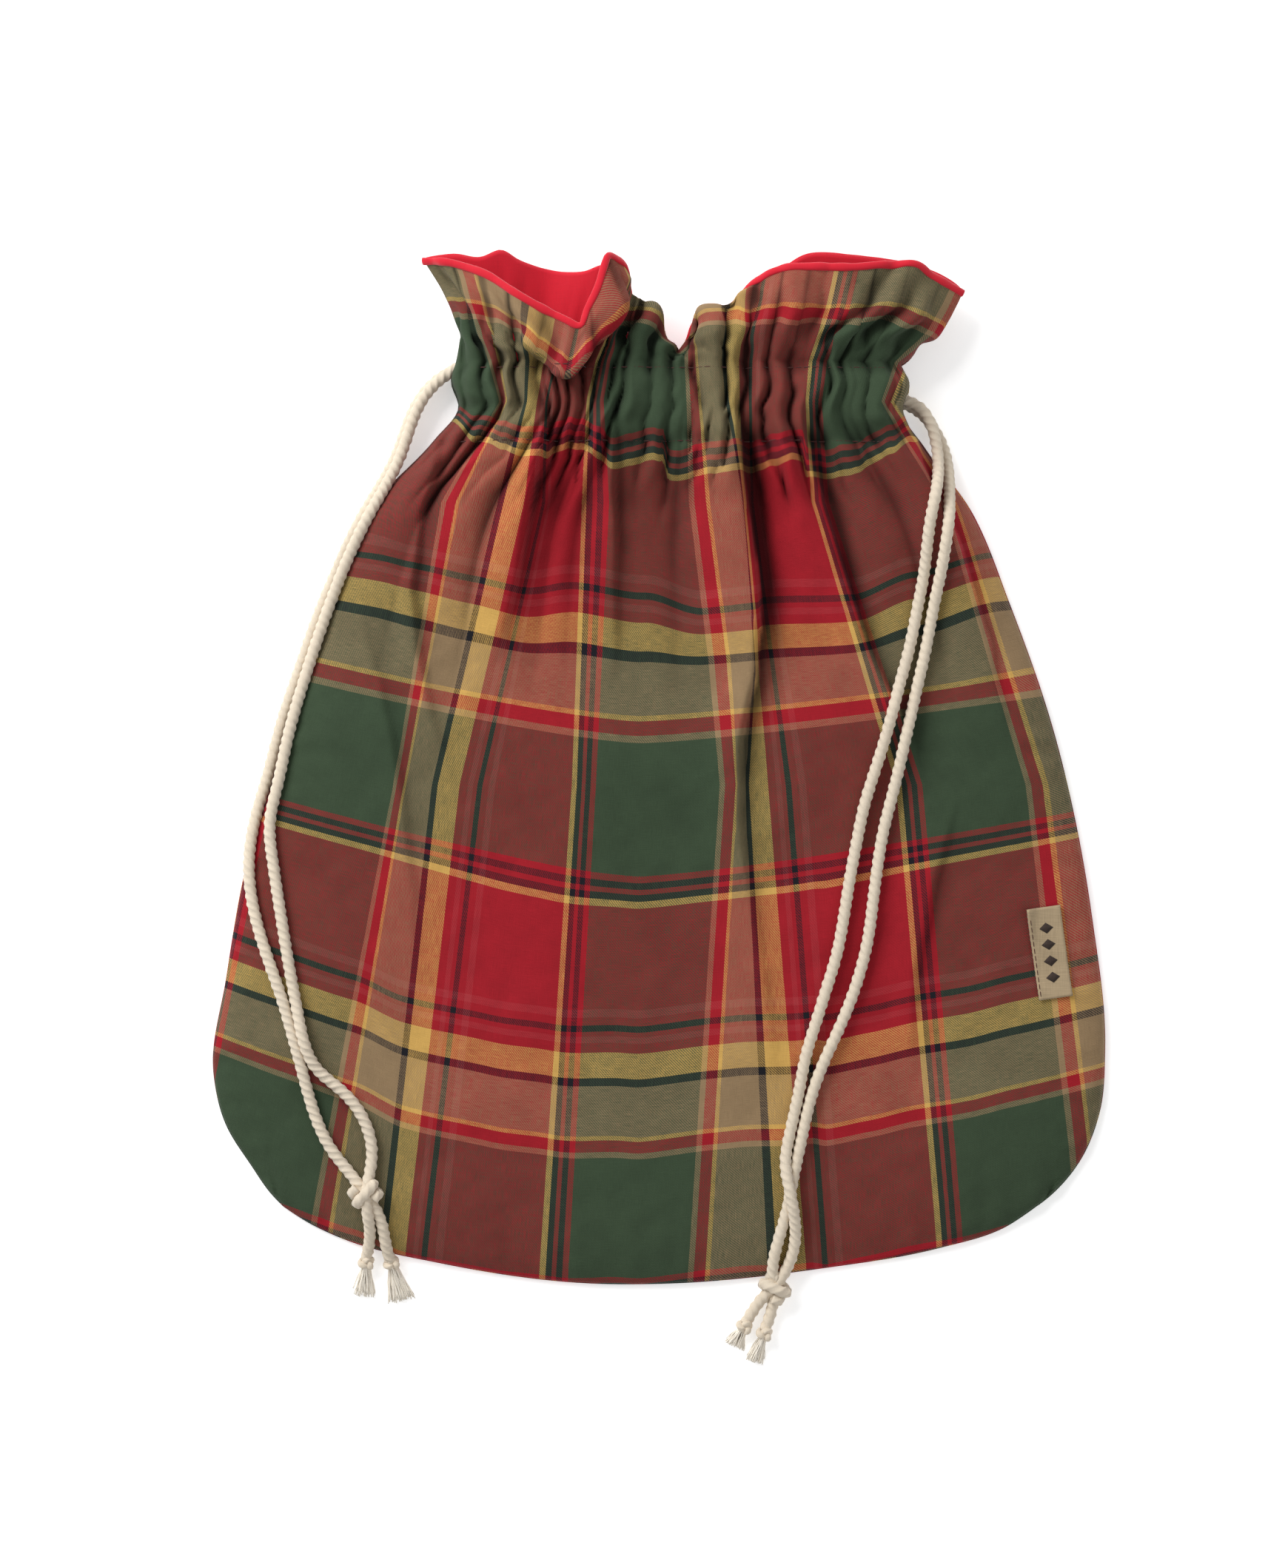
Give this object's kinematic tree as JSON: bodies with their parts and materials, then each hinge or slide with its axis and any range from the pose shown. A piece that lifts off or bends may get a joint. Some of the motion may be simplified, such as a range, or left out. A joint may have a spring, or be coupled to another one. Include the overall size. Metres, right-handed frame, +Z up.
{
  "type": "fabric gift sack",
  "caption": "Lined cotton drawstring gift sack in a tartan weave, lying flat and empty, with a gathered neck, a ruffled mouth and tasselled rope drawstrings knotted on each side.",
  "frame": {"origin": "on the surface the sack lies on, under the middle of its cloth", "axes": "+Y towards the mouth, +Z up out of the front, +X to the right of somebody looking down on the front"},
  "size_m": [0.351, 0.438, 0.03],
  "materials": {
    "tartan_cloth": "matte cotton twill, red and green tartan",
    "lining": "satin-faced red lining",
    "cotton_cord": "twisted natural cotton",
    "thread": "matte sewing thread",
    "label_tape": "matte woven tape"
  },
  "bodies": {
    "sack": {"back_panel": "tartan_cloth", "front_panel": "tartan_cloth", "perimeter_seam": "tartan_cloth", "back_lining": "lining", "front_lining": "lining", "front_casing_lower_stitches": "thread", "front_casing_upper_stitches": "thread", "back_casing_lower_stitches": "thread", "back_casing_upper_stitches": "thread", "label_stitches": "thread", "label": "label_tape", "left_drawstring_in_casing": "cotton_cord", "right_drawstring_in_casing": "cotton_cord"},
    "front_mouth": {"front_heading": "tartan_cloth", "front_heading_lining": "lining"},
    "left_drawstring": {"left_first_strand": "cotton_cord", "left_first_tail": "cotton_cord", "left_first_end_knot": "cotton_cord", "left_first_tassel": "cotton_cord", "left_second_strand": "cotton_cord", "left_second_tail": "cotton_cord", "left_second_end_knot": "cotton_cord", "left_second_tassel": "cotton_cord", "left_knot": "cotton_cord"},
    "right_drawstring": {"right_first_strand": "cotton_cord", "right_first_tail": "cotton_cord", "right_first_end_knot": "cotton_cord", "right_first_tassel": "cotton_cord", "right_second_strand": "cotton_cord", "right_second_tail": "cotton_cord", "right_second_end_knot": "cotton_cord", "right_second_tassel": "cotton_cord", "right_knot": "cotton_cord"}
  },
  "joints": [
    {"name": "front_mouth_fold", "type": "hinge", "parent": "sack", "child": "front_mouth", "pos_m": [0.0075, 0.1583, 0.0203], "axis": [1, 0, 0], "range_deg": [0, 95]},
    {"name": "left_drawstring_pull", "type": "slide", "parent": "sack", "child": "left_drawstring", "axis": [-0.4197, -0.7995, 0.4297], "range_m": [0, 0.06]},
    {"name": "right_drawstring_pull", "type": "slide", "parent": "sack", "child": "right_drawstring", "axis": [0.4197, -0.7995, 0.4297], "range_m": [0, 0.06]}
  ]
}
